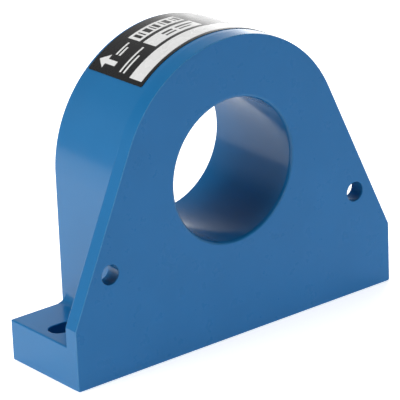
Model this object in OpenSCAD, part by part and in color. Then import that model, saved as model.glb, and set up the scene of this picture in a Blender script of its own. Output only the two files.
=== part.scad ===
// Hall effect current sensor: a blue moulded housing with a through bore for
// the conductor, a gapped magnetic ring and its electronics inside.
// Millimetres, +Z up, front face towards -Y. The modules are drawn with the
// front face at y = 0 and shifted so that the origin is the middle of the base.

/* [Housing] */
// Width of the front plate and of the feet
plate_w = 86.4; // [85:0.2:90]
// Thickness of the front plate
plate_t = 3.7; // [3.2:0.1:3.9]
// Height of the plate's upright side edges
edge_h = 13.7; // [12:0.1:15]
// Radius of the arch at the front plate
arch_r = 29.5; // [29.4:0.1:31]
// Radius of the arch at the back, smaller by the mould's draft
back_r = 28.4; // [28.3:0.1:28.9]
// Height of the bore above the base
bore_z = 37.9; // [37.6:0.1:39]
// Diameter of the through bore
bore_d = 31.7; // [30:0.1:32.5]
// Rounding of the bore's front rim
bore_rim = 0.75; // [0:0.05:1.2]
// Depth of the body from front to back
body_d = 25.5; // [25.3:0.1:27]
// Thickness of the outer walls
wall = 2; // [1.8:0.1:2.1]

/* [Fixings] */
// Height of the feet
foot_h = 9.3; // [8:0.1:10]
// Depth of the feet from the front face
foot_d = 23.4; // [21:0.1:25]
// Radius of the fillet between foot and flank
fillet_r = 2.1; // [1:0.1:2.1]
// Width of the slots in the feet
slot_w = 4.4; // [4:0.1:5]
// Length of the slots in the feet, end to end
slot_l = 7; // [6:0.1:8]
// Distance of the slots from the middle
slot_x = 37.5; // [37:0.1:38]
// Distance of the slots from the front face
slot_y = 12.2; // [10:0.1:14]
// Diameter of the holes in the front plate
hole_d = 4.4; // [3.5:0.1:5]
// Distance of the plate holes from the middle
hole_x = 33.6; // [33:0.1:34]
// Height of the plate holes
hole_z = 23.8; // [22:0.1:24]

/* [Core] */
// Inner radius of the magnetic ring
core_ri = 18.6; // [18.5:0.1:19]
// Outer radius of the magnetic ring
core_ro = 26.2; // [24:0.1:26.3]
// Width of the magnetic ring along the bore
core_w = 12.5; // [10:0.1:12.6]
// Air gap of the magnetic ring
gap = 2.6; // [2.4:0.1:3]

/* [Electronics] */
// Distance of the board's front side from the front face
board_y = 17.6; // [17.4:0.1:17.8]
// Thickness of the board
board_t = 1.6; // [1.5:0.1:1.6]
// Pitch of the connector's pins
pin_pitch = 2.5; // [2.3:0.1:2.54]
// Height of the middle of the connector
conn_z = 17.75; // [17.7:0.05:17.9]
// Height of the first trimmer
trim_z = 28.4; // [28.2:0.1:28.6]
// Distance between the two trimmers
trim_pitch = 7.2; // [7:0.1:7.4]

/* [Label] */
// Thickness of the label
label_t = 0.12; // [0.08:0.01:0.2]
// Half of the angle that the label covers
label_a = 41.4; // [20:0.1:45]
// Front edge of the label from the front face
label_y0 = 5.1; // [4:0.1:6]
// Back edge of the label from the front face
label_y1 = 24.2; // [15:0.1:24.4]

/* [Hidden] */
$fn = 96;
draft = (arch_r - back_r) / (body_d - plate_t); // fall of the outer radius for each mm of depth
function r_out(y) = arch_r - draft * (y - plate_t);
function r_in(y) = r_out(y) - wall;
front_wall = 3;        // thickness of the wall in front of the core
base_t = 2.4;          // thickness of the floor under the electronics
bore_r = bore_d / 2;
tube_r = 18.2;         // outside of the bore tube as far as the board
tube_r2 = 17.5;        // and behind its shoulder
board_back = board_y + board_t;
resin_y = body_d - 1.2; // face of the resin, below the rim
core_y0 = board_y - 0.9 - core_w; // front face of the ring
trim_y = board_back + 2.3;        // axis of the trimmers
trim_x = 26;           // outer face of the trimmers
trim_zs = [trim_z, trim_z + trim_pitch];
pin_y = board_back + 2.8;         // axis of the connector's pins
pin_x = 23.5;          // where the pins go through the board
pin_zs = [for (i = [-1.5, -0.5, 0.5, 1.5]) conn_z + i * pin_pitch];
lead_zs = [for (i = [-1.5, -0.5, 0.5, 1.5]) 15.5 + i * 1.27];
peg_x = 24;            // pegs that carry the board
peg_z = 5;

module at_origin() { translate([0, -body_d / 2, 0]) children(); }
// a cylinder along +Y from y0 to y1
module cyl_y(r, y0, y1, x = 0, z = bore_z) { translate([x, y0, z]) rotate([-90, 0, 0]) cylinder(r = r, h = y1 - y0); }
module cone_y(r0, r1, y0, y1, x = 0, z = bore_z) { translate([x, y0, z]) rotate([-90, 0, 0]) cylinder(r1 = r0, r2 = r1, h = y1 - y0); }
// The rounded front rim of the bore, turned in four steps
module bore_mouth() {
    if (bore_rim > 0) {
        cyl_y(bore_r + bore_rim, -1, 0);
        for (a = [0:22.5:67.5])
            cone_y(bore_r + bore_rim * (1 - sin(a)), bore_r + bore_rim * (1 - sin(a + 22.5)), bore_rim * (1 - cos(a)), bore_rim * (1 - cos(a + 22.5)));
    }
}
// a cylinder along +X from x0 to x1
module cyl_x(r, x0, x1, y, z) { translate([x0, y, z]) rotate([0, 90, 0]) cylinder(r = r, h = x1 - x0); }
// a block between two corners
module block(a, b) { translate(a) cube(b - a); }
// an XZ outline drawn up to a depth
module sheet_y(y0, y1) { translate([0, y1, 0]) rotate([90, 0, 0]) linear_extrude(y1 - y0) children(); }
module ring_y(ro, ri, y0, y1) { difference() { cyl_y(ro, y0, y1); cyl_y(ri, y0 - 1, y1 + 1); } }

// ---- housing ----
tan_l = sqrt(pow(plate_w / 2, 2) + pow(edge_h - bore_z, 2));
tan_a = atan2(edge_h - bore_z, plate_w / 2) + acos(arch_r / tan_l);
tan_x = arch_r * cos(tan_a);
tan_z = bore_z + arch_r * sin(tan_a);

module plate_outline() {
    translate([0, bore_z]) circle(arch_r);
    polygon([[-plate_w / 2, 0], [plate_w / 2, 0], [plate_w / 2, edge_h], [tan_x, tan_z], [-tan_x, tan_z], [-plate_w / 2, edge_h]]);
}

// the arch on its two flanks, drafted towards the back, with its outside moved in by t
module arch_body(y0, y1, z0, t) {
    cone_y(r_out(y0) - t, r_out(y1) - t, y0, y1);
    translate([0, 0, z0]) linear_extrude(bore_z - z0)
        polygon([[-r_out(y0) + t, y0], [r_out(y0) - t, y0], [r_out(y1) - t, y1], [-r_out(y1) + t, y1]]);
}

module slot(x) {
    translate([x, slot_y, -1]) linear_extrude(foot_h + 2) {
        translate([-(slot_l - slot_w) / 2, 0]) circle(slot_w / 2);
        translate([(slot_l - slot_w) / 2, 0]) circle(slot_w / 2);
        square([slot_l - slot_w, slot_w], center = true);
    }
}

module flank_fillet() {
    intersection() {
        translate([arch_r, plate_t, foot_h]) rotate([0, 0, atan(draft)]) translate([-0.4, foot_d, -0.4]) rotate([90, 0, 0])
            linear_extrude(foot_d + 2) difference() {
                square(fillet_r + 0.4);
                translate([fillet_r + 0.4, fillet_r + 0.4]) circle(fillet_r);
            }
        block([20, 1, 0], [43, foot_d, 30]);
    }
}

module cavity() {
    difference() {
        arch_body(front_wall, body_d + 0.1, base_t, wall);
        cyl_y(tube_r, front_wall - 1, board_y);
        cyl_y(tube_r2, board_y - 1, body_d + 1);
        for (s = [-1, 1]) {
            block([s > 0 ? 21.5 : -30, front_wall - 1, 0], [s > 0 ? 30 : -21.5, board_y, 7]);
            cyl_y(0.8, board_y - 1, board_back + 0.7, s * peg_x, peg_z);
        }
    }
}

module housing() {
    color("steelblue") at_origin() difference() {
        union() {
            sheet_y(0, plate_t) plate_outline();
            arch_body(plate_t, body_d, 0, 0);
            for (s = [-1, 1]) block([s > 0 ? 25 : -plate_w / 2, 1, 0], [s > 0 ? plate_w / 2 : -25, foot_d, foot_h]);
            flank_fillet();
            mirror([1, 0, 0]) flank_fillet();
        }
        cyl_y(bore_r, -1, body_d + 1);
        bore_mouth();
        cavity();
        for (s = [-1, 1]) {
            cyl_y(hole_d / 2, -1, plate_t + 1, s * hole_x, hole_z);
            slot(s * slot_x);
        }
        // the notch for the connector, open to the back, and the two adjusting holes
        block([25, board_back - 0.1, conn_z - 6.3], [31, body_d + 1, conn_z + 6.3]);
        for (z = trim_zs) cyl_x(1.6, 25, 31, trim_y, z);
    }
}

module rating_label() {
    color("black") at_origin() translate([0, 0, bore_z]) rotate([-90, 0, 0]) rotate([0, 0, -90 - label_a])
        rotate_extrude(angle = 2 * label_a, $fn = 180)
            polygon([[r_out(label_y0), label_y0], [r_out(label_y0) + label_t, label_y0],
                [r_out(label_y1) + label_t, label_y1], [r_out(label_y1), label_y1]]);
}

// ---- core ----
module magnetic_core() {
    y1 = core_y0 + core_w;
    c = 0.4;
    color("dimgray") at_origin() difference() {
        translate([0, 0, bore_z]) rotate([-90, 0, 0]) rotate_extrude()
            polygon([[core_ri + c, core_y0], [core_ro - c, core_y0], [core_ro, core_y0 + c], [core_ro, y1 - c],
                [core_ro - c, y1], [core_ri + c, y1], [core_ri, y1 - c], [core_ri, core_y0 + c]]);
        block([-gap / 2, core_y0 - 1, 0], [gap / 2, y1 + 1, bore_z]);
    }
}

module core_sleeve() {
    color("gold") at_origin() ring_y(core_ri, tube_r, front_wall, board_y - 0.9);
}

module core_pad() {
    color("gainsboro") at_origin() ring_y(core_ro, core_ri, front_wall, core_y0);
}

module insulating_washer() {
    color("khaki") at_origin() difference() {
        ring_y(core_ro + 0.4, tube_r, board_y - 0.9, board_y);
        block([-1.6, board_y - 2, 0], [1.6, board_y + 1, 20.5]);
    }
}

module gap_spacer() {
    color("ivory") at_origin() difference() {
        block([-gap / 2, core_y0, 11.9], [gap / 2, core_y0 + core_w, 19.1]);
        block([-0.8, 8.9, 13.3], [0.8, core_y0 + core_w + 1, 17.7]);
    }
}

module hall_element() {
    color("black") at_origin() difference() {
        block([-0.75, 9, 13.4], [0.75, 12, 17.6]);
        translate([0.75, 9, 12.5]) rotate([0, 0, 45]) translate([-0.2, -0.2, 0]) cube([0.4, 0.4, 6]);
    }
}

module hall_leads() {
    color("silver") at_origin() for (z = lead_zs) block([-0.2, 12, z - 0.2], [0.2, board_back + 0.8, z + 0.2]);
}

// ---- board ----
module board_outline() {
    difference() {
        polygon([[-26.3, 2.8], [26.3, 2.8], [26.3, 39.6], [-26.3, 39.6]]);
        translate([0, bore_z]) circle(tube_r2 + 0.25);
        polygon([[-11, 39], [11, 39], [11, 60], [-11, 60]]);
        for (s = [-1, 1]) translate([s * peg_x, peg_z]) circle(0.85);
        for (z = lead_zs) translate([0, z]) circle(0.32);
        for (z = pin_zs) translate([pin_x, z]) circle(0.5);
    }
}

module circuit_board() {
    color("darkgreen") at_origin() sheet_y(board_y, board_back) board_outline();
}

// parts on the front side of the board: x, z of the middle, sizes along x, z and height
amp = [-7, 7, 8.7, 3.9, 1.5];
reg = [5.5, 7.2, 4.5, 2.5, 1.5];
transistors = [[-16.5, 8.8, 2.9, 1.3, 1], [-16.5, 5.2, 2.9, 1.3, 1]];
diodes = [[12.5, 8.8, 4.3, 2.6, 2.2], [12.5, 5, 4.3, 2.6, 2.2]];
tantalums = [[18.6, 9.3, 4.4, 2.8, 2.8], [18.6, 5.2, 4.4, 2.8, 2.8]];
resistors = [[-24, 10, 1], [-24, 12.5, 1], [-24, 15, 1], [-24, 17.5, 1], [-21, 10, 1], [-21, 12.5, 1],
    [-11.5, 11.6, 0], [10.5, 11.6, 0]];
capacitors = [[-21, 15, 1], [-24, 20, 1], [14, 12.4, 0], [-15, 12.4, 0]];
thermo = [4.2, 10.6];

module chip_body(c, h, l = 1.2) {
    w = 1.25;
    dx = c[2] == 1 ? w / 2 : l / 2;
    dz = c[2] == 1 ? l / 2 : w / 2;
    block([c[0] - dx, board_y - h, c[1] - dz], [c[0] + dx, board_y, c[1] + dz]);
}
module chip_caps(c, h, l = 1.2) {
    for (s = [-1, 1]) chip_body([c[0] + (c[2] == 1 ? 0 : s * (l / 2 + 0.2)), c[1] + (c[2] == 1 ? s * (l / 2 + 0.2) : 0), c[2]], h, 0.4);
}
module package(p, off = 0.1) {
    block([p[0] - p[2] / 2, board_y - off - p[4], p[1] - p[3] / 2], [p[0] + p[2] / 2, board_y - off, p[1] + p[3] / 2]);
}
// a bent lead that leaves the package at half height and ends flat on the board, pointing to +Z (s = 1) or -Z
module gull(x, z, s, h, w, out) {
    translate([x - w / 2, 0, z]) rotate([0, 0, 0]) mirror([0, 0, s > 0 ? 0 : 1]) {
        block([0, board_y - h, 0], [w, board_y - h + 0.2, out / 2 + 0.1]);
        block([0, board_y - h, out / 2 - 0.1], [w, board_y, out / 2 + 0.1]);
        block([0, board_y - 0.2, out / 2 - 0.1], [w, board_y, out]);
    }
}

module amplifier_chip() {
    color("black") at_origin() difference() {
        package(amp);
        cyl_y(0.45, board_y - 2, board_y - 1.45, amp[0] - amp[2] / 2 + 1, amp[1] - amp[3] / 2 + 0.9);
    }
}
module amplifier_leads() {
    color("silver") at_origin() for (i = [-3:3], s = [-1, 1]) gull(amp[0] + i * 1.27, amp[1] + s * amp[3] / 2, s, 0.85, 0.4, 1.05);
}
module voltage_regulator() { color("black") at_origin() package(reg, 0); }
module regulator_leads() {
    color("silver") at_origin() {
        for (i = [-1:1]) block([reg[0] + i * 1.5 - 0.22, board_y - 0.4, reg[1] - reg[3] / 2 - 0.9], [reg[0] + i * 1.5 + 0.22, board_y, reg[1] - reg[3] / 2]);
        block([reg[0] - 0.85, board_y - 0.4, reg[1] + reg[3] / 2], [reg[0] + 0.85, board_y, reg[1] + reg[3] / 2 + 0.7]);
    }
}
module output_transistors() { color("black") at_origin() for (t = transistors) package(t, 0.05); }
module transistor_leads() {
    color("silver") at_origin() for (t = transistors) {
        for (s = [-1, 1]) gull(t[0] + s * 0.95, t[1] - t[3] / 2, -1, 0.6, 0.4, 0.55);
        gull(t[0], t[1] + t[3] / 2, 1, 0.6, 0.4, 0.55);
    }
}
module protection_diodes() { color("black") at_origin() for (d = diodes) package(d, 0.1); }
module diode_leads() {
    color("silver") at_origin() for (d = diodes, s = [-1, 1]) {
        x = d[0] + s * (d[2] / 2);
        block([min(x, x + s * 0.25), board_y - 1.2, d[1] - 0.7], [max(x, x + s * 0.25), board_y, d[1] + 0.7]);
    }
}
module tantalum_capacitors() { color("goldenrod") at_origin() for (t = tantalums) package(t, 0.1); }
module capacitor_leads() {
    color("silver") at_origin() for (t = tantalums, s = [-1, 1]) {
        x = t[0] + s * (t[2] / 2);
        block([min(x, x + s * 0.2), board_y - 1.5, t[1] - 1.1], [max(x, x + s * 0.2), board_y, t[1] + 1.1]);
    }
}
module chip_resistors() { color("black") at_origin() for (c = resistors) chip_body(c, 0.5); }
module chip_capacitors() { color("tan") at_origin() for (c = capacitors) chip_body(c, 0.9); }
module thermistor() { color("saddlebrown") at_origin() chip_body([thermo[0], thermo[1], 0], 0.7); }
module chip_end_caps() {
    color("silver") at_origin() {
        for (c = resistors) chip_caps(c, 0.5);
        for (c = capacitors) chip_caps(c, 0.9);
        chip_caps([thermo[0], thermo[1], 0], 0.7);
    }
}

// ---- trimmers ----
module trimmer_case(z) {
    difference() {
        block([trim_x - 6.4, board_back, z - 3.3], [trim_x, board_back + 4.6, z + 3.3]);
        cyl_x(2.05, trim_x - 5, trim_x - 0.5, trim_y, z);
        cyl_x(1.55, trim_x - 1, trim_x + 1, trim_y, z);
        block([trim_x - 7, trim_y - 1.8, z - 2.5], [trim_x - 4.6, trim_y + 1.8, z + 2.5]);
    }
}
module trimmer_rotor(z) {
    difference() {
        union() {
            cyl_x(2, trim_x - 2.55, trim_x - 0.55, trim_y, z);
            cyl_x(1.5, trim_x - 1, trim_x, trim_y, z);
        }
        block([trim_x - 0.7, trim_y - 2, z - 0.3], [trim_x + 1, trim_y + 2, z + 0.3]);
    }
}
// a spring disc with two contact fingers, fixed to the back of the rotor
module trimmer_wiper(z) {
    cyl_x(1.8, trim_x - 2.8, trim_x - 2.55, trim_y, z);
    for (s = [-0.5, 0.5]) block([trim_x - 4.55, trim_y - 0.2 + s, z + 1], [trim_x - 2.7, trim_y + 0.2 + s, z + 1.25]);
}
module offset_trimmer_case() { color("royalblue") at_origin() trimmer_case(trim_zs[0]); }
module gain_trimmer_case() { color("royalblue") at_origin() trimmer_case(trim_zs[1]); }
module offset_trimmer_rotor() { color("white") at_origin() trimmer_rotor(trim_zs[0]); }
module gain_trimmer_rotor() { color("white") at_origin() trimmer_rotor(trim_zs[1]); }
module offset_trimmer_wiper() { color("gold") at_origin() trimmer_wiper(trim_zs[0]); }
module gain_trimmer_wiper() { color("gold") at_origin() trimmer_wiper(trim_zs[1]); }
module trimmer_elements() {
    color("white") at_origin() for (z = trim_zs) block([trim_x - 6.4, trim_y - 1.8, z - 2.5], [trim_x - 4.6, trim_y + 1.8, z + 2.5]);
}
module trimmer_terminals() {
    color("silver") at_origin() for (z = trim_zs, i = [-1:1]) block([trim_x - 6.7, board_back, z + i * 2.2 - 0.4], [trim_x - 6.4, trim_y - 0.3, z + i * 2.2 + 0.4]);
}

// ---- connector ----
module connector_header() {
    color("ivory") at_origin() difference() {
        union() {
            block([24.6, board_back, conn_z - 6.2], [28.8, board_back + 5.8, conn_z + 6.2]);
            block([28, board_back + 4.9, conn_z - 4.8], [35, board_back + 5.8, conn_z + 4.8]);
            block([33.6, board_back + 4.3, conn_z - 2], [34.4, board_back + 5, conn_z + 2]);
        }
        for (z = pin_zs) block([20, pin_y - 0.32, z - 0.32], [40, pin_y + 0.32, z + 0.32]);
    }
}
module connector_pins() {
    color("silver") at_origin() for (z = pin_zs) {
        block([pin_x - 0.32, pin_y - 0.32, z - 0.32], [34.4, pin_y + 0.32, z + 0.32]);
        block([pin_x - 0.32, board_y - 0.8, z - 0.32], [pin_x + 0.32, pin_y + 0.32, z + 0.32]);
    }
}

module solder_joints() {
    color("silver") at_origin() {
        for (z = lead_zs) difference() {
            cone_y(0.55, 0.35, board_back, board_back + 0.55, 0, z);
            block([-0.2, 0, z - 0.2], [0.2, 40, z + 0.2]);
        }
        for (z = pin_zs) difference() {
            cone_y(0.5, 1, board_y - 0.7, board_y, pin_x, z);
            block([pin_x - 0.32, 0, z - 0.32], [pin_x + 0.32, 40, z + 0.32]);
        }
    }
}

// ---- resin ----
module resin_fill() {
    color("darkslategray") at_origin() difference() {
        arch_body(board_y, resin_y, base_t, wall);
        cyl_y(tube_r2, board_y - 1, body_d + 1);
        // the board with its solder side parts
        sheet_y(board_y - 1, board_back) difference() {
            polygon([[-26.3, 2.8], [26.3, 2.8], [26.3, 39.6], [-26.3, 39.6]]);
            polygon([[-11, 39], [11, 39], [11, 60], [-11, 60]]);
            translate([0, bore_z]) circle(tube_r2 + 0.25);
        }
        for (s = [-1, 1]) cyl_y(0.8, board_y - 1, board_back + 0.7, s * peg_x, peg_z);
        for (z = lead_zs) {
            cone_y(0.55, 0.35, board_back, board_back + 0.55, 0, z);
            block([-0.2, board_y, z - 0.2], [0.2, board_back + 0.8, z + 0.2]);
        }
        for (z = trim_zs) {
            block([trim_x - 6.4, board_back - 0.5, z - 3.3], [trim_x, board_back + 4.6, z + 3.3]);
            cyl_x(1.6, trim_x - 1, 31, trim_y, z);
            for (i = [-1:1]) block([trim_x - 6.7, board_back - 0.5, z + i * 2.2 - 0.4], [trim_x - 6, trim_y - 0.3, z + i * 2.2 + 0.4]);
        }
        block([24.6, board_back - 0.5, conn_z - 6.2], [31, body_d + 1, conn_z + 6.2]);
        for (z = pin_zs) block([pin_x - 0.32, board_back - 0.5, z - 0.32], [25, pin_y + 0.32, z + 0.32]);
    }
}

housing();
rating_label();
magnetic_core();
core_sleeve();
core_pad();
insulating_washer();
gap_spacer();
hall_element();
hall_leads();
circuit_board();
amplifier_chip();
amplifier_leads();
voltage_regulator();
regulator_leads();
output_transistors();
transistor_leads();
protection_diodes();
diode_leads();
tantalum_capacitors();
capacitor_leads();
chip_resistors();
chip_capacitors();
chip_end_caps();
thermistor();
offset_trimmer_case();
offset_trimmer_rotor();
offset_trimmer_wiper();
gain_trimmer_case();
gain_trimmer_rotor();
gain_trimmer_wiper();
trimmer_elements();
trimmer_terminals();
connector_header();
connector_pins();
solder_joints();
resin_fill();
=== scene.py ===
"""Looks of the hall effect current sensor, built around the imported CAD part.
Lengths in this script are millimetres, in the part's own frame, unless a name says otherwise."""
import math

import bmesh
import bpy
from mathutils import Matrix, Vector


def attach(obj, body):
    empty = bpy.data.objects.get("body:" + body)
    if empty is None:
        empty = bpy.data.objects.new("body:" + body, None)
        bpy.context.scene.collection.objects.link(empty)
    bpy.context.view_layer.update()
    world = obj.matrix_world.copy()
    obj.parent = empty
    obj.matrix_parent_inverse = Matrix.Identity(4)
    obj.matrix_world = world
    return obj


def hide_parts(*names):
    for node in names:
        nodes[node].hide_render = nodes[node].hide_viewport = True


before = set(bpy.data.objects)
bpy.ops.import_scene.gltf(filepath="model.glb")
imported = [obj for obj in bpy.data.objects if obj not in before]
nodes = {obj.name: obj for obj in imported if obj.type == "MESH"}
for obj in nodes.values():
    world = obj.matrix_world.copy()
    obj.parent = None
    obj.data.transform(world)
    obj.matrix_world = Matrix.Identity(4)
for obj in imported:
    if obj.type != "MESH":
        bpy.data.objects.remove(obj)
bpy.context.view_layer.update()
scene = bpy.context.scene
MM = 0.001

# ---------------------------------------------------------------- dimensions, as in the CAD source
FRONT = -12.75            # the front face
PLATE_W, PLATE_T, EDGE_H = 86.4, 3.7, 13.7
ARCH_R, BACK_R, BORE_Z, BORE_R, DEPTH, WALL = 29.5, 28.4, 37.9, 15.85, 25.5, 2.0
FOOT_H, FOOT_D, FILLET = 9.3, 23.4, 2.1
SLOT_W, SLOT_L, SLOT_X, SLOT_Y = 4.4, 7.0, 37.5, 12.2
HOLE_R, HOLE_X, HOLE_Z = 2.2, 33.6, 23.8
FRONT_WALL, BASE_T, TUBE_R, TUBE_R2 = 3.0, 2.4, 18.2, 17.5
BOARD_Y, BOARD_BACK, RESIN_Y = 17.6, 19.2, 24.3
CONN_Z, TRIM_Y, TRIM_X, TRIM_ZS = 17.75, 21.5, 26.0, (28.4, 35.6)
LABEL_A, LABEL_Y0, LABEL_Y1, LABEL_T = 41.4, 5.1, 24.2, 0.12
PIN_Y, PIN_X, PIN_ZS = 22.0, 23.5, (14.0, 16.5, 19.0, 21.5)
DRAFT = (ARCH_R - BACK_R) / (DEPTH - PLATE_T)


def r_out(y):
    return ARCH_R - DRAFT * max(0.0, y - PLATE_T)


# ---------------------------------------------------------------- mesh helpers
def obj_from(name, verts, faces, mat=None):
    me = bpy.data.meshes.new(name)
    me.from_pydata([(v[0] * MM, (v[1] + FRONT) * MM, v[2] * MM) for v in verts], [], faces)
    me.update()
    bm = bmesh.new()
    bm.from_mesh(me)
    bmesh.ops.recalc_face_normals(bm, faces=bm.faces)
    bm.to_mesh(me)
    bm.free()
    o = bpy.data.objects.new(name, me)
    scene.collection.objects.link(o)
    if mat:
        me.materials.append(mat)
    return o


def loft(name, rings, closed=False, mat=None):
    """A closed skin through rings of points, each ring with the same number of points."""
    n = len(rings[0])
    verts = [p for r in rings for p in r]
    faces = []
    last = len(rings) if closed else len(rings) - 1
    for k in range(last):
        a, b = k * n, ((k + 1) % len(rings)) * n
        faces += [(a + i, a + (i + 1) % n, b + (i + 1) % n, b + i) for i in range(n)]
    if not closed:
        faces += [tuple(range(n)), tuple(range((len(rings) - 1) * n, len(rings) * n))]
    return obj_from(name, verts, faces, mat)


def arc_points(arcs, d=0.0):
    """Points of an outline made of arcs (cx, cz, r, a0, a1, n) and the straight lines between them, moved in by d."""
    out = []
    for cx, cz, r, a0, a1, n in arcs:
        for i in range(n + 1):
            a = math.radians(a0 + (a1 - a0) * i / n)
            out.append((cx + (r - d) * math.cos(a), cz + (r - d) * math.sin(a)))
    return out


def circle(cx, cz, r, n):
    return [(cx + r * math.cos(2 * math.pi * i / n), cz + r * math.sin(2 * math.pi * i / n)) for i in range(n)]


def rim(r, n=5):
    """Steps of a quarter round: (distance in, distance along), from the end face to the side."""
    return [(r * (1 - math.sin(t)), r * (1 - math.cos(t))) for t in [math.pi / 2 * k / n for k in range(n + 1)]]


def spool(name, cx, cz, r, y0, y1, f0, f1, n):
    """A cutter along Y whose ends flare, so that the hole's rims come out rounded by f0 and f1."""
    steps = [(r + f0, y0 - 2)] + [(r + d, y0 + t) for d, t in rim(f0, 8)] + [(r + d, y1 - t) for d, t in reversed(rim(f1))] + [(r + f1, y1 + 2)]
    return loft(name, [[(x, y, z) for x, z in circle(cx, cz, rr, n)] for rr, y in steps])


def box(name, lo, hi, r=0.0, seg=3, mat=None):
    verts = [(x, y, z) for x in (lo[0], hi[0]) for y in (lo[1], hi[1]) for z in (lo[2], hi[2])]
    faces = [(0, 1, 3, 2), (4, 6, 7, 5), (0, 4, 5, 1), (2, 3, 7, 6), (0, 2, 6, 4), (1, 5, 7, 3)]
    o = obj_from(name, verts, faces, mat)
    if r:
        bm = bmesh.new()
        bm.from_mesh(o.data)
        bmesh.ops.bevel(bm, geom=bm.edges[:], offset=r * MM, segments=seg, profile=0.5, affect="EDGES")
        bm.to_mesh(o.data)
        bm.free()
    return o


def boolean(a, b, op="UNION", keep=False):
    m = a.modifiers.new("b", "BOOLEAN")
    m.solver = "MANIFOLD"
    m.operation = op
    m.object = b
    bpy.context.view_layer.update()
    dg = bpy.context.evaluated_depsgraph_get()
    me = bpy.data.meshes.new_from_object(a.evaluated_get(dg), depsgraph=dg)
    a.modifiers.clear()
    old = a.data
    a.data = me
    me.name = a.name
    bpy.data.meshes.remove(old)
    if not keep:
        old = b.data
        bpy.data.objects.remove(b)
        bpy.data.meshes.remove(old)
    return a


def finish_mesh(o, angle=32.0, weighted=True):
    """Smooth faces, sharp edges above the angle, and normals that follow the large faces."""
    bm = bmesh.new()
    bm.from_mesh(o.data)
    bmesh.ops.remove_doubles(bm, verts=bm.verts, dist=2e-7)
    bmesh.ops.dissolve_degenerate(bm, edges=bm.edges, dist=1e-7)
    bmesh.ops.recalc_face_normals(bm, faces=bm.faces)
    for f in bm.faces:
        f.smooth = True
    for e in bm.edges:
        e.smooth = len(e.link_faces) == 2 and e.calc_face_angle(0) < math.radians(angle)
    bm.to_mesh(o.data)
    bm.free()
    if weighted:
        m = o.modifiers.new("normals", "WEIGHTED_NORMAL")
        m.mode = "FACE_AREA"
        m.keep_sharp = True
        m.weight = 100
    return o


def join(name, parts):
    """One object of several meshes, each left whole."""
    bm = bmesh.new()
    for p in parts:
        bm.from_mesh(p.data)
    me = bpy.data.meshes.new(name)
    bm.to_mesh(me)
    bm.free()
    for m in parts[0].data.materials:
        me.materials.append(m)
    for p in parts:
        d = p.data
        bpy.data.objects.remove(p)
        bpy.data.meshes.remove(d)
    o = bpy.data.objects.new(name, me)
    scene.collection.objects.link(o)
    return o


# ---------------------------------------------------------------- materials
def material(name, rough, metallic=0.0, **settings):
    m = bpy.data.materials.new(name)
    m.use_nodes = True
    nt = m.node_tree
    b = nt.nodes["Principled BSDF"]
    b.inputs["Roughness"].default_value = rough
    b.inputs["Metallic"].default_value = metallic
    for k, v in settings.items():
        b.inputs[k.replace("_", " ")].default_value = v
    return m, nt, b


def coords(nt, scale=1.0):
    """Object coordinates in millimetres, so that a pattern has the same size on every piece."""
    tc = nt.nodes.new("ShaderNodeTexCoord")
    mp = nt.nodes.new("ShaderNodeMapping")
    mp.inputs["Scale"].default_value = (1000 * scale,) * 3
    nt.links.new(tc.outputs["Object"], mp.inputs["Vector"])
    return mp.outputs["Vector"]


def noise(nt, vec, scale, detail=3.0, rough=0.5):
    n = nt.nodes.new("ShaderNodeTexNoise")
    n.inputs["Scale"].default_value = scale
    n.inputs["Detail"].default_value = detail
    n.inputs["Roughness"].default_value = rough
    nt.links.new(vec, n.inputs["Vector"])
    return n.outputs["Fac"]


def remap(nt, fac, a, b, lo=0.3, hi=0.7):
    n = nt.nodes.new("ShaderNodeMapRange")
    n.inputs["From Min"].default_value = lo
    n.inputs["From Max"].default_value = hi
    n.inputs["To Min"].default_value = a
    n.inputs["To Max"].default_value = b
    nt.links.new(fac, n.inputs["Value"])
    return n.outputs["Result"]


def ramp(nt, fac, stops):
    n = nt.nodes.new("ShaderNodeValToRGB")
    e = n.color_ramp.elements
    while len(e) > 1:
        e.remove(e[0])
    e[0].position, e[0].color = stops[0][0], (*stops[0][1], 1)
    for p, c in stops[1:]:
        x = e.new(p)
        x.color = (*c, 1)
    nt.links.new(fac, n.inputs["Fac"])
    return n.outputs["Color"]


def bump(nt, height, strength, distance_mm, target):
    n = nt.nodes.new("ShaderNodeBump")
    n.inputs["Strength"].default_value = strength
    n.inputs["Distance"].default_value = distance_mm * MM
    nt.links.new(height, n.inputs["Height"])
    nt.links.new(n.outputs["Normal"], target)
    return n


def plastic(name, colour, rough, var=0.06, grain=0.35, grain_scale=3.0, bump_mm=0.01, **settings):
    """A moulded plastic: a slightly uneven colour, an uneven gloss and a fine moulded grain."""
    m, nt, b = material(name, rough, **settings)
    v = coords(nt)
    cloud = noise(nt, v, 0.12, 3)
    lo = tuple(c * (1 - var) for c in colour)
    hi = tuple(min(1, c * (1 + var)) for c in colour)
    nt.links.new(ramp(nt, cloud, [(0.32, lo), (0.68, hi)]), b.inputs["Base Color"])
    nt.links.new(remap(nt, noise(nt, v, 0.5, 4), rough - 0.04, rough + 0.05), b.inputs["Roughness"])
    bump(nt, noise(nt, v, grain_scale, 4, 0.6), grain, bump_mm, b.inputs["Normal"])
    return m


def metal(name, colour, rough, streak=(1, 1, 1), **settings):
    m, nt, b = material(name, rough, 1.0, **settings)
    v = coords(nt)
    lo = tuple(c * 0.86 for c in colour)
    s = nt.nodes.new("ShaderNodeVectorMath")
    s.operation = "MULTIPLY"
    s.inputs[1].default_value = streak
    nt.links.new(v, s.inputs[0])
    f = noise(nt, s.outputs[0], 1.4, 5, 0.6)
    nt.links.new(ramp(nt, f, [(0.3, lo), (0.7, colour)]), b.inputs["Base Color"])
    nt.links.new(remap(nt, f, rough - 0.06, rough + 0.1), b.inputs["Roughness"])
    bump(nt, f, 0.3, 0.01, b.inputs["Normal"])
    return m


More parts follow.
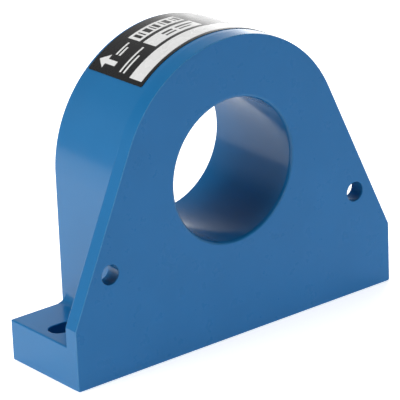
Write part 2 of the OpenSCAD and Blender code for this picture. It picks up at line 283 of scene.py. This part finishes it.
def math_node(nt, op, a, b=None, c=None, clamp=False):
    n = nt.nodes.new("ShaderNodeMath")
    n.operation = op
    n.use_clamp = clamp
    for i, x in enumerate((a, b, c)):
        if x is None:
            continue
        if isinstance(x, (int, float)):
            n.inputs[i].default_value = x
        else:
            nt.links.new(x, n.inputs[i])
    return n.outputs[0]


def moulding(name, lo, hi, rough, gloss=0.27):
    """The blue moulding: an even colour with a few dark specks, a slightly wavy gloss and a fine grain."""
    m, nt, b = material(name, rough, Specular_IOR_Level=gloss)
    v = coords(nt)
    base = ramp(nt, noise(nt, v, 0.07, 3), [(0.3, lo), (0.7, hi)])
    speck = nt.nodes.new("ShaderNodeTexVoronoi")
    speck.feature = "F1"
    speck.inputs["Scale"].default_value = 0.085
    nt.links.new(v, speck.inputs["Vector"])
    mix = nt.nodes.new("ShaderNodeMix")
    mix.data_type = "RGBA"
    nt.links.new(math_node(nt, "LESS_THAN", speck.outputs["Distance"], 0.013), mix.inputs["Factor"])
    nt.links.new(base, mix.inputs["A"])
    mix.inputs["B"].default_value = (0.01, 0.035, 0.09, 1)
    nt.links.new(mix.outputs["Result"], b.inputs["Base Color"])
    nt.links.new(remap(nt, noise(nt, v, 0.35, 4), rough - 0.04, rough + 0.04), b.inputs["Roughness"])
    wave = noise(nt, v, 0.16, 2)
    fine = noise(nt, v, 5.0, 3, 0.6)
    height = math_node(nt, "ADD", wave, math_node(nt, "MULTIPLY", fine, 0.02))
    bump(nt, height, 0.25, 0.05, b.inputs["Normal"])
    return m


blue = moulding("blue_moulding", (0.0084, 0.130, 0.320), (0.0094, 0.139, 0.341), 0.2)
blue_front_painted_light = moulding("blue_moulding_front_painted_light", (0.0100, 0.135, 0.355), (0.0110, 0.144, 0.378), 0.3, 0.19)   # matter; its colour is lighter than the rest of the moulding, painted light for the front face, set by comparison with the photo
# painted highlight: a paler blue for the plate's rounded front edge, standing in for the glint of light along it
blue_edge_painted_highlight = moulding("blue_moulding_edges_painted_highlight", (0.040, 0.190, 0.395), (0.044, 0.203, 0.420), 0.3, 0.35)
blue_bore_painted_shade = moulding("blue_moulding_bore_painted_shade", (0.0070, 0.108, 0.272), (0.0080, 0.116, 0.290), 0.2, 0.35)   # glossier, and darker: painted shade for the walls of the bore and the holes, set by comparison with the photo

resin = plastic("cast_resin", (0.012, 0.016, 0.022), 0.16, var=0.2, grain=0.35, grain_scale=0.18, bump_mm=0.25)
ivory = plastic("natural_nylon", (0.72, 0.68, 0.56), 0.42, var=0.04)
package = plastic("moulded_epoxy", (0.02, 0.02, 0.021), 0.55, var=0.2, grain=0.6, grain_scale=8)
tantalum = plastic("yellow_epoxy", (0.72, 0.42, 0.05), 0.45, var=0.05)
ceramic_tan = plastic("tan_ceramic", (0.42, 0.30, 0.19), 0.5, var=0.1)
ceramic_white = plastic("white_ceramic", (0.82, 0.82, 0.8), 0.4, var=0.03)
trimmer_blue = plastic("trimmer_moulding", (0.02, 0.07, 0.33), 0.38, var=0.06)
laminate = plastic("solder_mask", (0.012, 0.16, 0.05), 0.3, var=0.18, grain=0.4, grain_scale=1.2)
pad = plastic("foam_rubber", (0.45, 0.45, 0.46), 0.9, var=0.12, grain=1.0, grain_scale=4, bump_mm=0.08)
film = plastic("amber_film", (0.6, 0.36, 0.06), 0.25, var=0.05)
paper = plastic("pressed_board", (0.5, 0.44, 0.28), 0.7, var=0.12, grain=0.7, grain_scale=4)
tin = metal("tinned", (0.78, 0.77, 0.74), 0.26, (1, 4, 1))
brass = metal("spring_metal", (0.86, 0.66, 0.34), 0.28)
core_steel = metal("wound_core", (0.32, 0.32, 0.33), 0.45, (3, 0.4, 3))


def label_material():
    """Black film with white fields, an arrow and plain bars. Angle round the arch and depth place them."""
    m, nt, b = material("label_film", 0.2, Specular_IOR_Level=0.42)
    tc = nt.nodes.new("ShaderNodeTexCoord")
    sep = nt.nodes.new("ShaderNodeSeparateXYZ")
    nt.links.new(tc.outputs["Object"], sep.inputs[0])
    x = math_node(nt, "MULTIPLY", sep.outputs["X"], 1000)
    y = math_node(nt, "MULTIPLY_ADD", sep.outputs["Y"], 1000, -FRONT)
    z = math_node(nt, "MULTIPLY_ADD", sep.outputs["Z"], 1000, -BORE_Z)
    ang = math_node(nt, "ARCTAN2", x, z)
    s = math_node(nt, "MULTIPLY_ADD", ang, 29.2, 29.2 * math.radians(LABEL_A))  # mm from the left end
    t = math_node(nt, "SUBTRACT", y, LABEL_Y0)                                  # mm from the front edge

    def rect(s0, s1, t0, t1, soft=0.06):
        def edge(v, a, sign):
            n = nt.nodes.new("ShaderNodeMapRange")
            n.interpolation_type = "SMOOTHSTEP"
            n.inputs["From Min"].default_value = a - soft
            n.inputs["From Max"].default_value = a + soft
            n.inputs["To Min"].default_value = 0.0 if sign > 0 else 1.0
            n.inputs["To Max"].default_value = 1.0 if sign > 0 else 0.0
            nt.links.new(v, n.inputs["Value"])
            return n.outputs["Result"]
        p = math_node(nt, "MULTIPLY", edge(s, s0, 1), edge(s, s1, -1))
        q = math_node(nt, "MULTIPLY", edge(t, t0, 1), edge(t, t1, -1))
        return math_node(nt, "MULTIPLY", p, q)

    def add(a, b_):
        return b_ if a is None else math_node(nt, "MAXIMUM", a, b_)

    end = 2 * 29.2 * math.radians(LABEL_A)
    white = None
    for r in FIELDS(end):
        white = add(white, rect(*r))
    # the arrow: a shaft and a triangle that points to the label's left end
    white = add(white, rect(*ARROW_SHAFT))
    base_t, tip_t, mid_s, half = ARROW_HEAD
    grow = math_node(nt, "MULTIPLY", math_node(nt, "SUBTRACT", tip_t, t), half / (tip_t - base_t))
    off = math_node(nt, "ABSOLUTE", math_node(nt, "SUBTRACT", s, mid_s))
    tri = math_node(nt, "LESS_THAN", off, grow)
    tri = math_node(nt, "MULTIPLY", tri, rect(mid_s - half, mid_s + half, base_t, tip_t))
    white = add(white, tri)
    bars = None
    for r in BARS(end):
        bars = add(bars, rect(*r, soft=0.05))
    light = None
    for r in LIGHT_BARS:
        light = add(light, rect(*r, soft=0.05))
    white = add(white, light)
    white = math_node(nt, "SUBTRACT", white, bars, clamp=True)
    v = coords(nt)
    fine = noise(nt, v, 6.0, 3)
    black = ramp(nt, fine, [(0.3, (0.004, 0.004, 0.0045)), (0.7, (0.007, 0.007, 0.0075))])
    pale = ramp(nt, fine, [(0.3, (0.69, 0.69, 0.69)), (0.7, (0.73, 0.73, 0.72))])
    mix = nt.nodes.new("ShaderNodeMix")
    mix.data_type = "RGBA"
    nt.links.new(white, mix.inputs["Factor"])
    nt.links.new(black, mix.inputs["A"])
    nt.links.new(pale, mix.inputs["B"])
    nt.links.new(mix.outputs["Result"], b.inputs["Base Color"])
    nt.links.new(remap(nt, noise(nt, v, 0.4, 3), 0.24, 0.3), b.inputs["Roughness"])
    bump(nt, noise(nt, v, 1.2, 3), 0.2, 0.02, b.inputs["Normal"])
    return m


def FIELDS(end):
    """White fields: left end, right end, front edge, back edge, in mm on the label."""
    return [(1.1, end - 1.1, 1.0, 5.3), (10.4, 23.2, 6.4, 10.8), (10.4, 22.9, 11.95, 16.1)]


ARROW_SHAFT = (2.4, 3.65, 12.0, 15.6)
ARROW_HEAD = (15.3, 17.9, 3.05, 1.85)     # base, tip, middle, half width


def BARS(end):
    """Plain dark bars in the two upper fields: left end, right end, front edge, back edge."""
    out, x = [], 11.2
    for w, gap in ((0.9, 0.5), (0.4, 0.7), (1.3, 0.5), (0.4, 0.4), (0.9, 0.8), (0.4, 0.5), (1.3, 0.7), (0.4, 0.4), (0.9, 0.6), (0.4, 0.4)):
        out.append((x, x + w, 12.7, 15.3))
        x += w + gap
    out += [(14.6, 17.4, 8.9, 9.7), (14.6, 17.4, 7.6, 8.2), (18.2, 22.6, 8.9, 9.7), (18.2, 21.4, 7.6, 8.2)]
    return out


LIGHT_BARS = [(5.2, 9.2, 14.0, 14.55), (5.2, 7.9, 12.9, 13.45), (1.6, 9.2, 8.9, 9.45), (1.6, 6.8, 7.6, 8.15)]
label_film = label_material()

# ---------------------------------------------------------------- the housing, with the rounded edges of a moulding
tan_l = math.hypot(PLATE_W / 2, EDGE_H - BORE_Z)
tan_a = math.degrees(math.atan2(EDGE_H - BORE_Z, PLATE_W / 2) + math.acos(ARCH_R / tan_l))
CORNER = 0.45


def corner_arc(px, pz, a0, a1, r=CORNER, n=4):
    """The arc that rounds a convex corner whose edges face a0 and a1."""
    u, w = Vector((math.cos(math.radians(a0)), math.sin(math.radians(a0)))), Vector((math.cos(math.radians(a1)), math.sin(math.radians(a1))))
    c = Vector((px, pz)) - (u + w) * (r / (1 + u.dot(w)))
    return (c.x, c.y, r, a0, a1, n)


W2 = PLATE_W / 2
PLATE = [
    corner_arc(-W2, 0, 180, 270), corner_arc(W2, 0, 270, 360), corner_arc(W2, EDGE_H, 0, tan_a),
    (0, BORE_Z, ARCH_R, tan_a, 180 - tan_a, 96), corner_arc(-W2, EDGE_H, 180 - tan_a, 180),
]


def body_arcs(r, z0, rc=CORNER):
    """The arch on its flanks. Its arc has the plate's own points, so that the two run into each other."""
    return [(0, BORE_Z, r, 0, tan_a, 16), (0, BORE_Z, r, tan_a, 180 - tan_a, 96), (0, BORE_Z, r, 180 - tan_a, 180, 16),
            (-r + rc, z0 + rc, rc, 180, 270, 4), (r - rc, z0 + rc, rc, 270, 360, 4)]


def build_plate():
    """The front plate. Its back rim is rounded only where it stands free; on the arch it runs into the body."""
    rings = [[(x, t, z) for x, z in arc_points(PLATE, d)] for d, t in rim(0.2, 6)]
    for d, t in reversed(rim(0.32, 5)):
        ring = []
        for cx, cz, r, a0, a1, n in PLATE:
            for i in range(n + 1):
                a = a0 + (a1 - a0) * i / n
                free = 1.0 if r < ARCH_R else max(0.0, 1 - min(a - tan_a, 180 - tan_a - a) / 5)
                e, b = d * free, math.radians(a)
                ring.append((cx + (r - e) * math.cos(b), PLATE_T - t, cz + (r - e) * math.sin(b)))
        rings.append(ring)
    return loft("housing_body", rings)


def build_housing():
    h = build_plate()
    # the arch on its flanks; the front end is hidden inside the plate
    steps = [(0.0, 1.5), (0.0, PLATE_T)] + [(d, DEPTH - t) for d, t in reversed(rim(0.9, 7))]
    arch = loft("arch", [[(x, y, z) for x, z in arc_points(body_arcs(r_out(y), 0, 1.0), d)] for d, y in steps])
    h = boolean(h, arch)
    for s in (-1, 1):
        foot = box("foot", (min(s * 25, s * W2), 1, 0), (max(s * 25, s * W2), FOOT_D, FOOT_H), 0.35, 4)
        h = boolean(h, foot)
        prof = [(-0.4, -0.4), (FILLET, -0.4)] + [
            (FILLET - FILLET * math.sin(a), FILLET - FILLET * math.cos(a)) for a in [math.pi / 2 * k / 10 for k in range(11)]
        ] + [(-0.4, FILLET)]
        rings = [[(s * (r_out(y) + u), y, FOOT_H + w) for u, w in prof] for y in (1.5, FOOT_D - 0.02)]
        h = boolean(h, loft("fillet", rings))
    # the cavity, open to the back, with a lip
    steps = [(0.0, FRONT_WALL), (0.0, DEPTH - 0.35), (-0.08, DEPTH - 0.14), (-0.3, DEPTH), (-0.3, DEPTH + 2)]
    cavity = loft("cavity", [[(x, y, z) for x, z in arc_points(body_arcs(r_out(min(y, DEPTH)) - WALL, BASE_T, 0.6), d)] for d, y in steps])
    h = boolean(h, cavity, "DIFFERENCE")
    prof = [(14, 2.5), (TUBE_R, 2.5), (TUBE_R, BOARD_Y), (TUBE_R2, BOARD_Y), (TUBE_R2, DEPTH - 0.3), (TUBE_R2 - 0.09, DEPTH - 0.09), (TUBE_R2 - 0.3, DEPTH), (14, DEPTH)]
    n = 160
    rings = [[(r * math.cos(a), y, BORE_Z + r * math.sin(a)) for r, y in prof] for a in [2 * math.pi * k / n for k in range(n)]]
    h = boolean(h, loft("tube", rings, closed=True))
    for s in (-1, 1):
        h = boolean(h, box("pillar", (min(s * 21.5, s * 28.3), 2, 1), (max(s * 21.5, s * 28.3), BOARD_Y, 7)))
        peg = loft("peg", [[(x, y, z) for x, z in circle(s * 24, 5, 0.8, 24)] for y in (BOARD_Y - 1, BOARD_BACK + 0.7)])
        h = boolean(h, peg)
    h = boolean(h, spool("bore", 0, BORE_Z, BORE_R, 0, DEPTH, 0.75, 0.3, 192), "DIFFERENCE")
    for s in (-1, 1):
        h = boolean(h, spool("hole", s * HOLE_X, HOLE_Z, HOLE_R, 0, PLATE_T, 0.18, 0.12, 48), "DIFFERENCE")
        half = (SLOT_L - SLOT_W) / 2
        arcs = [(s * SLOT_X + half, SLOT_Y, SLOT_W / 2, -90, 90, 20), (s * SLOT_X - half, SLOT_Y, SLOT_W / 2, 90, 270, 20)]
        steps = [(-0.15, -2)] + [(-d, t) for d, t in rim(0.15, 3)] + [(-d, FOOT_H - t) for d, t in reversed(rim(0.22, 4))] + [(-0.22, FOOT_H + 2)]
        h = boolean(h, loft("slot", [[(x, y, z) for x, y in arc_points(arcs, d)] for d, z in steps]), "DIFFERENCE")
    h = boolean(h, box("notch", (25, BOARD_BACK - 0.1, CONN_Z - 6.3), (31, DEPTH + 2, CONN_Z + 6.3)), "DIFFERENCE")
    for z in TRIM_ZS:
        rr = [(1.6, 25)] + [(1.6, r_out(TRIM_Y) - 0.3), (1.66, r_out(TRIM_Y) - 0.1), (1.85, r_out(TRIM_Y)), (1.85, 31)]
        cut = loft("adjusting", [[(x, TRIM_Y + r * math.cos(a), z + r * math.sin(a)) for a in [2 * math.pi * k / 40 for k in range(40)]] for r, x in rr])
        h = boolean(h, cut, "DIFFERENCE")
    h.data.materials.clear()
    h.data.materials.append(blue)
    h.data.materials.append(blue_edge_painted_highlight)
    h.data.materials.append(blue_front_painted_light)
    h.data.materials.append(blue_bore_painted_shade)
    for p in h.data.polygons:
        c = p.center / MM
        free = math.hypot(c.x, c.z - BORE_Z) > BORE_R + 2 and min(math.hypot(c.x - s * HOLE_X, c.z - HOLE_Z) for s in (-1, 1)) > HOLE_R + 1
        # painted light: the front face gets the lighter copy of the blue
        if c.y < FRONT + 0.01:
            p.material_index = 2
        # painted shade: the walls of the bore and the plate holes get the darker blue
        elif not free and abs(p.normal.y) < 0.8:
            p.material_index = 3
        else:
            # the rounded front edge of the plate gets the paler blue, a painted highlight for the glint of light along
            # it, as in the photo
            p.material_index = 1 if free and c.y < FRONT + 0.25 and -0.985 < p.normal.y < -0.17 else 0
    return finish_mesh(h)


housing = build_housing()
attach(housing, "sensor_body")
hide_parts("housing")


# ---------------------------------------------------------------- the label, with rounded corners
def build_label():
    """A film bent round the arch: a grid in angle and depth, with its corners rounded and its edge closed."""
    a, rc, n, m = math.radians(LABEL_A), 0.4, 120, 24
    length, depth = 2 * a * 29.2, LABEL_Y1 - LABEL_Y0
    us = [rc * (1 - math.cos(math.pi / 2 * k / 6)) for k in range(7)]
    us = us + [rc + (length - 2 * rc) * k / n for k in range(1, n)] + [length - u for u in reversed(us)]
    top, bot, faces = [], [], []
    for u in us:
        du = max(0.0, rc - u, u - (length - rc))
        inset = rc - math.sqrt(max(0.0, rc * rc - du * du))
        for k in range(m + 1):
            t = LABEL_Y0 + inset + (depth - 2 * inset) * k / m
            ang = -a + 2 * a * u / length
            for store, h in ((top, LABEL_T), (bot, 0.01)):
                r = r_out(t) + h
                store.append((r * math.sin(ang), t, BORE_Z + r * math.cos(ang)))
    w = m + 1
    N = len(us) * w
    for i in range(len(us) - 1):
        for k in range(m):
            q = (i * w + k, i * w + k + 1, (i + 1) * w + k + 1, (i + 1) * w + k)
            faces.append(q)
            faces.append(tuple(N + x for x in reversed(q)))
    edge = [i * w for i in range(len(us))] + [(len(us) - 1) * w + k for k in range(1, w)]
    edge += [i * w + m for i in range(len(us) - 2, -1, -1)] + [k for k in range(m - 1, 0, -1)]
    for p, q in zip(edge, edge[1:] + edge[:1]):
        faces.append((p, q, N + q, N + p))
    o = obj_from("label_sheet", top + bot, faces, label_film)
    return finish_mesh(o, 40)


label = build_label()
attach(label, "sensor_body")
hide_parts("rating_label")


# ---------------------------------------------------------------- the connector on the right flank
def build_header():
    z0, z1 = CONN_Z - 6.2, CONN_Z + 6.2
    base = box("header", (24.6, BOARD_BACK, z0), (28.8, BOARD_BACK + 5.8, z1), 0.2, 3)
    tongue = box("tongue", (28, BOARD_BACK + 4.9, CONN_Z - 4.8), (35, BOARD_BACK + 5.8, CONN_Z + 4.8), 0.22, 3)
    base = boolean(base, tongue)
    base = boolean(base, box("catch", (33.6, BOARD_BACK + 4.3, CONN_Z - 2), (34.4, BOARD_BACK + 5.0, CONN_Z + 2), 0.12, 2))
    for z in PIN_ZS:
        # a shallow chamfered well round each pin
        f = 0.33
        rings = [[(x, PIN_Y + p * h, z + q * h) for p, q in ((-1, -1), (1, -1), (1, 1), (-1, 1))]
                 for x, h in ((24.0, f), (28.35, f), (28.6, 0.55), (28.8, 0.62), (29.4, 0.62))]
        base = boolean(base, loft("well", rings), "DIFFERENCE")
    for z in (CONN_Z - 2.5, CONN_Z, CONN_Z + 2.5):
        # moulding pockets between the pins
        base = boolean(base, box("pocket", (28.2, BOARD_BACK + 1.2, z - 0.35), (29.5, BOARD_BACK + 4.0, z + 0.35)), "DIFFERENCE")
    base.data.materials.clear()
    base.data.materials.append(ivory)
    for p in base.data.polygons:
        p.material_index = 0
    base.name = "signal_header_body"
    return finish_mesh(base)


def build_pins():
    parts = []
    for z in PIN_ZS:
        h = 0.32
        rings = [[(x, PIN_Y + p * k, z + q * k) for p, q in ((-1, -0.8), (-0.8, -1), (0.8, -1), (1, -0.8), (1, 0.8), (0.8, 1), (-0.8, 1), (-1, 0.8))]
                 for x, k in ((PIN_X - h, h), (33.5, h), (34.0, 0.26), (34.3, 0.17), (34.4, 0.12))]
        a = loft("pin", rings)
        rings = [[(PIN_X + p * h, y, z + q * h) for p, q in ((-1, -0.8), (-0.8, -1), (0.8, -1), (1, -0.8), (1, 0.8), (0.8, 1), (-0.8, 1), (-1, 0.8))]
                 for y in (BOARD_Y - 0.8, PIN_Y + 0.3)]
        parts.append(boolean(a, loft("leg", rings)))
    o = join("signal_pins", parts)
    o.data.materials.append(tin)
    return finish_mesh(o)


header = build_header()
pins = build_pins()
for o, node, slot in ((header, "connector_header", "natural_plastic"), (pins, "connector_pins", "tinned_metal")):
    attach(o, "sensor_body")
    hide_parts(node)


# ---------------------------------------------------------------- the resin's edges, which climb a little at the walls
def build_meniscus():
    c = 0.42
    prof = [(c * (1 - math.sin(t)), c * (1 - math.cos(t))) for t in [math.pi / 2 * k / 6 for k in range(7)]]  # away from the wall, up
    parts = []
    arcs = body_arcs(r_out(RESIN_Y) - WALL, BASE_T, 0.6)
    rings = []
    for d, h in prof:
        rings.append([(x, RESIN_Y + h, z) for x, z in arc_points(arcs, d)])
    rings.append([(x, RESIN_Y - 0.3, z) for x, z in arc_points(arcs, c)])
    rings.append([(x, RESIN_Y - 0.3, z) for x, z in arc_points(arcs, 0.0)])
    parts.append(loft("edge", rings, closed=True, mat=resin))
    rings = []
    n = 128
    for d, h in prof:
        rings.append([(x, RESIN_Y + h, z) for x, z in circle(0, BORE_Z, TUBE_R2 + d, n)])
    rings.append([(x, RESIN_Y - 0.3, z) for x, z in circle(0, BORE_Z, TUBE_R2 + c, n)])
    rings.append([(x, RESIN_Y - 0.3, z) for x, z in circle(0, BORE_Z, TUBE_R2, n)])
    parts.append(loft("edge", rings, closed=True, mat=resin))
    outer = parts[0]
    # the notch of the header interrupts the outer edge
    outer = boolean(outer, box("gap", (24.2, BOARD_BACK, CONN_Z - 6.4), (31, DEPTH + 1, CONN_Z + 6.4)), "DIFFERENCE")
    o = join("resin_edges", [outer, parts[1]])
    o.data.materials.clear()
    o.data.materials.append(resin)
    return finish_mesh(o)


edges = build_meniscus()
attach(edges, "sensor_body")

# ---------------------------------------------------------------- materials of the carried-over CAD nodes
PAINT = {
    "magnetic_core": core_steel, "core_sleeve": film, "core_pad": pad, "insulating_washer": paper, "gap_spacer": ivory,
    "hall_element": package, "hall_leads": tin, "circuit_board": laminate, "amplifier_chip": package,
    "amplifier_leads": tin, "voltage_regulator": package, "regulator_leads": tin, "output_transistors": package,
    "transistor_leads": tin, "protection_diodes": package, "diode_leads": tin, "tantalum_capacitors": tantalum,
    "capacitor_leads": tin, "chip_resistors": package, "chip_capacitors": ceramic_tan, "chip_end_caps": tin,
    "thermistor": ceramic_tan, "offset_trimmer_case": trimmer_blue, "offset_trimmer_rotor": ceramic_white,
    "offset_trimmer_wiper": brass, "gain_trimmer_case": trimmer_blue, "gain_trimmer_rotor": ceramic_white,
    "gain_trimmer_wiper": brass, "trimmer_elements": ceramic_white, "trimmer_terminals": tin, "solder_joints": tin,
    "resin_fill": resin, "housing": blue, "rating_label": label_film, "connector_header": ivory, "connector_pins": tin,
}
for name, mat in PAINT.items():
    o = nodes[name]
    if not o.data.materials:
        o.data.materials.append(mat)
    for i in range(len(o.material_slots)):
        o.material_slots[i].material = mat

# ---------------------------------------------------------------- floor, light and camera
bpy.ops.mesh.primitive_circle_add(vertices=128, radius=0.44, fill_type="NGON", location=(0, 0, -0.00002))
floor = bpy.context.object
floor.name = "studio_floor"
fm, nt, b = material("floor_white", 0.9, Specular_IOR_Level=0.0)
b.inputs["Base Color"].default_value = (0.94, 0.94, 0.94, 1)
b.inputs["Emission Color"].default_value = (1, 1, 1, 1)   # a lit table, as for cut-out pictures
b.inputs["Emission Strength"].default_value = 0.64
floor.data.materials.append(fm)

world = bpy.data.worlds.new("studio")
scene.world = world
world.use_nodes = True
nt = world.node_tree
nt.nodes.clear()
tc = nt.nodes.new("ShaderNodeTexCoord")


def wnode(op, a, b=None, c=None, clamp=False):
    return math_node(nt, op, a, b, c, clamp)


def fade(value, at0, at1):
    """0 at at0, 1 at at1, straight between."""
    n = nt.nodes.new("ShaderNodeMapRange")
    n.inputs["From Min"].default_value = at0
    n.inputs["From Max"].default_value = at1
    nt.links.new(value, n.inputs["Value"])
    return n.outputs["Result"]


split = nt.nodes.new("ShaderNodeSeparateXYZ")
nt.links.new(tc.outputs["Generated"], split.inputs[0])
azimuth = wnode("ARCTAN2", split.outputs["Y"], split.outputs["X"])
height = wnode("ARCSINE", split.outputs["Z"])

# soft lights all round the table. Each ring has its lowest, middle and highest elevation and its brightness at the
# azimuths 0, 45 to 315 degrees. Azimuth 0 is +X, the object's right, and 90 is +Y, behind it.
RINGS = [
    (-90, 2, 14, (0.49, 0.40, 0.52, 0.55, 0.26, 0.19, 0.73, 0.79)),
    (2, 14, 32, (0.91, 1.05, 1.11, 0.45, 0, 0, 0, 0.67)),
    (14, 32, 60, (0.33, 0.42, 0.45, 0, 0, 0, 0, 0)),
]
LIGHTS = [(45 * k, 45, e0, e1, e2, v) for e0, e1, e2, ring in RINGS for k, v in enumerate(ring) if v]
# a window in front, and low ones behind to the right whose glare lies on the arch
LIGHTS += [(262, 28, 0, 14, 32, 3.5), (47, 22, -14, 0, 14, 3.3), (22, 22, -14, 0, 14, 0.6)]
total = None
for a0, spread, e0, e1, e2, value in LIGHTS:
    turn = wnode("ABSOLUTE", wnode("WRAP", wnode("SUBTRACT", azimuth, math.radians(a0)), math.pi, -math.pi))
    side = wnode("SUBTRACT", 1.0, wnode("DIVIDE", turn, math.radians(spread)), clamp=True)
    lift = wnode("MULTIPLY", fade(height, math.radians(e0), math.radians(e1)), fade(height, math.radians(e2), math.radians(e1)))
    one = wnode("MULTIPLY", wnode("MULTIPLY", side, lift), value)
    total = one if total is None else wnode("ADD", total, one)
lp = nt.nodes.new("ShaderNodeLightPath")
seen = nt.nodes.new("ShaderNodeMix")
seen.data_type = "FLOAT"
nt.links.new(lp.outputs["Is Camera Ray"], seen.inputs["Factor"])
nt.links.new(total, seen.inputs["A"])
seen.inputs["B"].default_value = 1.0
bg = nt.nodes.new("ShaderNodeBackground")
out = nt.nodes.new("ShaderNodeOutputWorld")
nt.links.new(seen.outputs["Result"], bg.inputs["Strength"])
bg.inputs["Color"].default_value = (1, 1, 1, 1)
nt.links.new(bg.outputs[0], out.inputs["Surface"])



def lamp(name, place, aim, watts):
    """A square lamp of 0.3 m that lights the table and isn't itself seen, mirrored or not."""
    data = bpy.data.lights.new(name, "AREA")
    data.size, data.energy = 0.3, watts
    o = bpy.data.objects.new(name, data)
    scene.collection.objects.link(o)
    o.location = place
    o.rotation_euler = (Vector(aim) - Vector(place)).to_track_quat("-Z", "Y").to_euler()
    o.visible_camera = o.visible_glossy = False


lamp("lamp_left_low", (-0.65, 0.1, 0.12), (0, 0, 0.03), 1.2)
lamp("lamp_left_back", (-0.6, 0.3, 0.2), (0, 0, 0.03), 0.9)
lamp("lamp_left_high", (-0.25, 0.05, 0.6), (0, 0, 0.03), 1.4)
lamp("lamp_top", (-0.1, -0.05, 0.7), (0, 0, 0.03), 0.7)
lamp("lamp_back_right", (0.30, 0.33, 0.35), (0.27, 0.297, 0), 2.2)

cam_data = bpy.data.cameras.new("camera")
cam = bpy.data.objects.new("camera", cam_data)
scene.collection.objects.link(cam)
scene.camera = cam
cam_data.sensor_width = 36.0
cam_data.sensor_fit = "HORIZONTAL"
cam_data.lens = 291.757
cam_data.clip_start, cam_data.clip_end = 0.05, 20
right = Vector((0.77863101, -0.62634993, -0.03767647))
up = Vector((0.25755273, 0.26426294, 0.92942546))
back = Vector((-0.57218907, -0.73338316, 0.36708146))
m = Matrix((right, up, back)).transposed().to_4x4()
m.translation = Vector((-0.39802295, -0.51090234, 0.28306273))
cam.matrix_world = m

scene.view_settings.view_transform = "Standard"
scene.view_settings.look = "None"
scene.view_settings.exposure = 0.0
